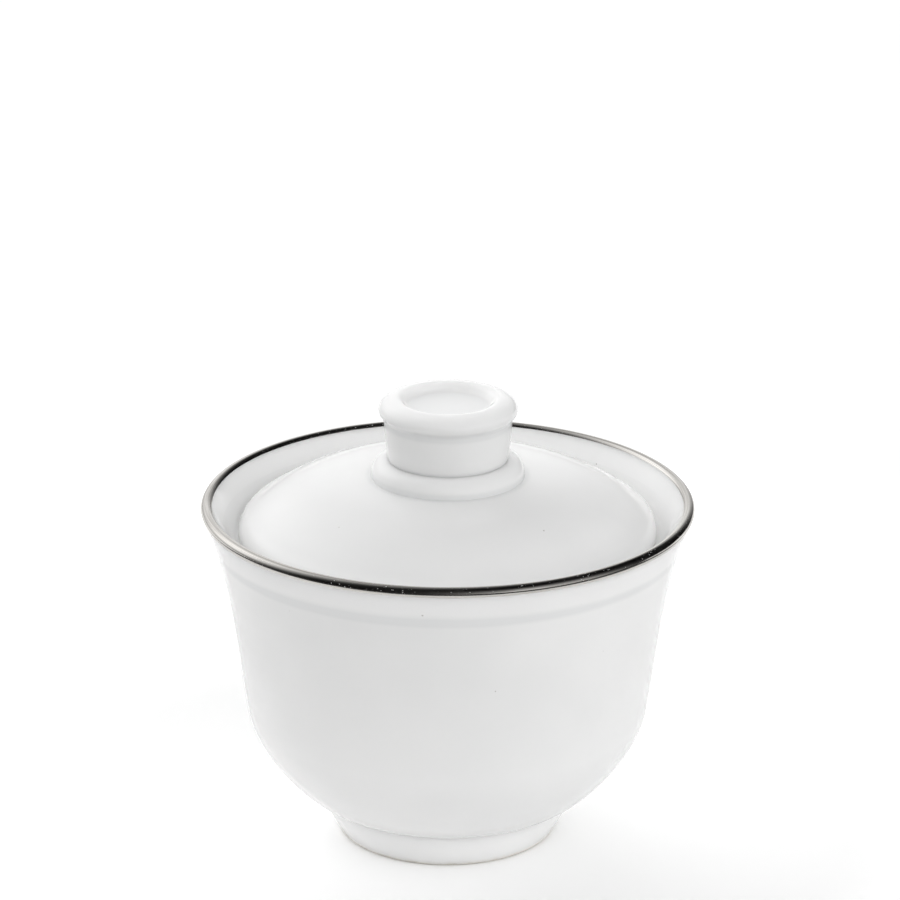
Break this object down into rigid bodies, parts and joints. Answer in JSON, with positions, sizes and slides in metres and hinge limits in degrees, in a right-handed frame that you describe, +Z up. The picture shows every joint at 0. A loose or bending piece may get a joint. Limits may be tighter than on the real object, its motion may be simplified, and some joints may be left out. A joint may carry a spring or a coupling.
{
  "type": "covered bowl",
  "caption": "Small white porcelain bowl with a flared, metal-lined lip and a tapered foot, and a domed lid with a dished knob that lifts straight off.",
  "frame": {"origin": "middle of the foot ring's standing face, on the bowl's axis", "axes": "+Z up along the bowl's axis, from the foot to the knob; X and Y lie across it and are alike"},
  "size_m": [0.1, 0.1, 0.0931],
  "materials": {
    "glaze": "clear glossy glaze over white porcelain",
    "foot": "glossy glaze outside, bare fired porcelain on the standing face",
    "line": "bright fired-on platinum line"
  },
  "bodies": {
    "bowl": {"bowl_body": "glaze", "foot_ring": "foot", "rim_line": "line"},
    "lid": {"lid_cover": "glaze", "lid_knob": "glaze"}
  },
  "joints": [
    {"name": "lid_lift", "type": "slide", "parent": "bowl", "child": "lid", "axis": [0, 0, 1], "range_m": [0, 0.06]}
  ]
}
